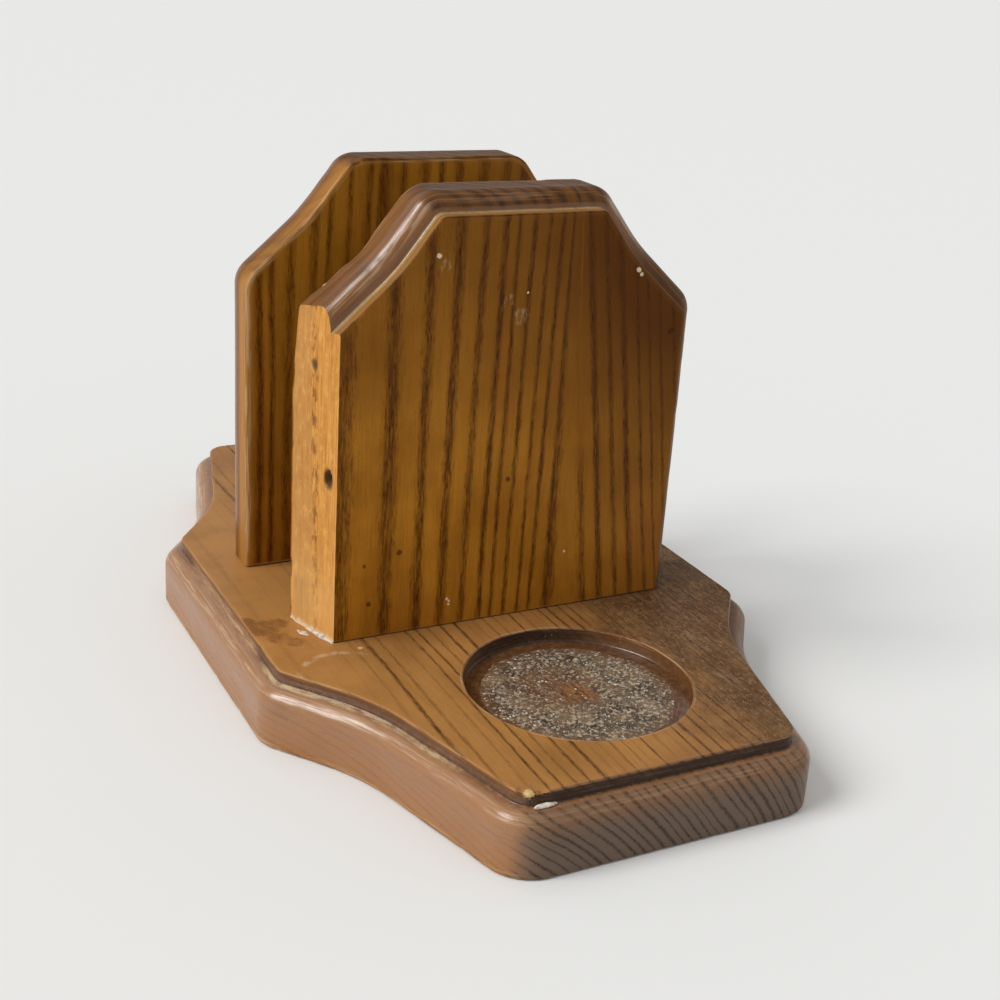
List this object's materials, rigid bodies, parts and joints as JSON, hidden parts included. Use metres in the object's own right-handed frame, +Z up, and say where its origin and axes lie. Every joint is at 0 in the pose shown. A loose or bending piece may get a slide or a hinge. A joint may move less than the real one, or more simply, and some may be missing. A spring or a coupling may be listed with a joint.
{
  "type": "napkin holder",
  "caption": "Free-standing wooden napkin holder: shaped upright panels with a napkin slot between them, on a long shaped base with a shallow round recess at each end.",
  "frame": {"origin": "on the table, under the middle of the base board's flat underside", "axes": "+X to the right across the panels, +Y along the base from its front end to its rear end, +Z up"},
  "size_m": [0.1504, 0.25, 0.138],
  "materials": {
    "base_wood": "worn satin lacquer over a golden brown stain",
    "panel_wood": "worn satin lacquer over a golden brown stain",
    "dried_residue": "rough dried glue and grit",
    "screw_steel": "dull zinc plate"
  },
  "bodies": {
    "root": {"base_board": "base_wood", "front_panel": "panel_wood", "rear_panel": "panel_wood", "front_screw_left": "screw_steel", "front_screw_right": "screw_steel", "rear_screw_left": "screw_steel", "rear_screw_right": "screw_steel"}
  },
  "joints": []
}
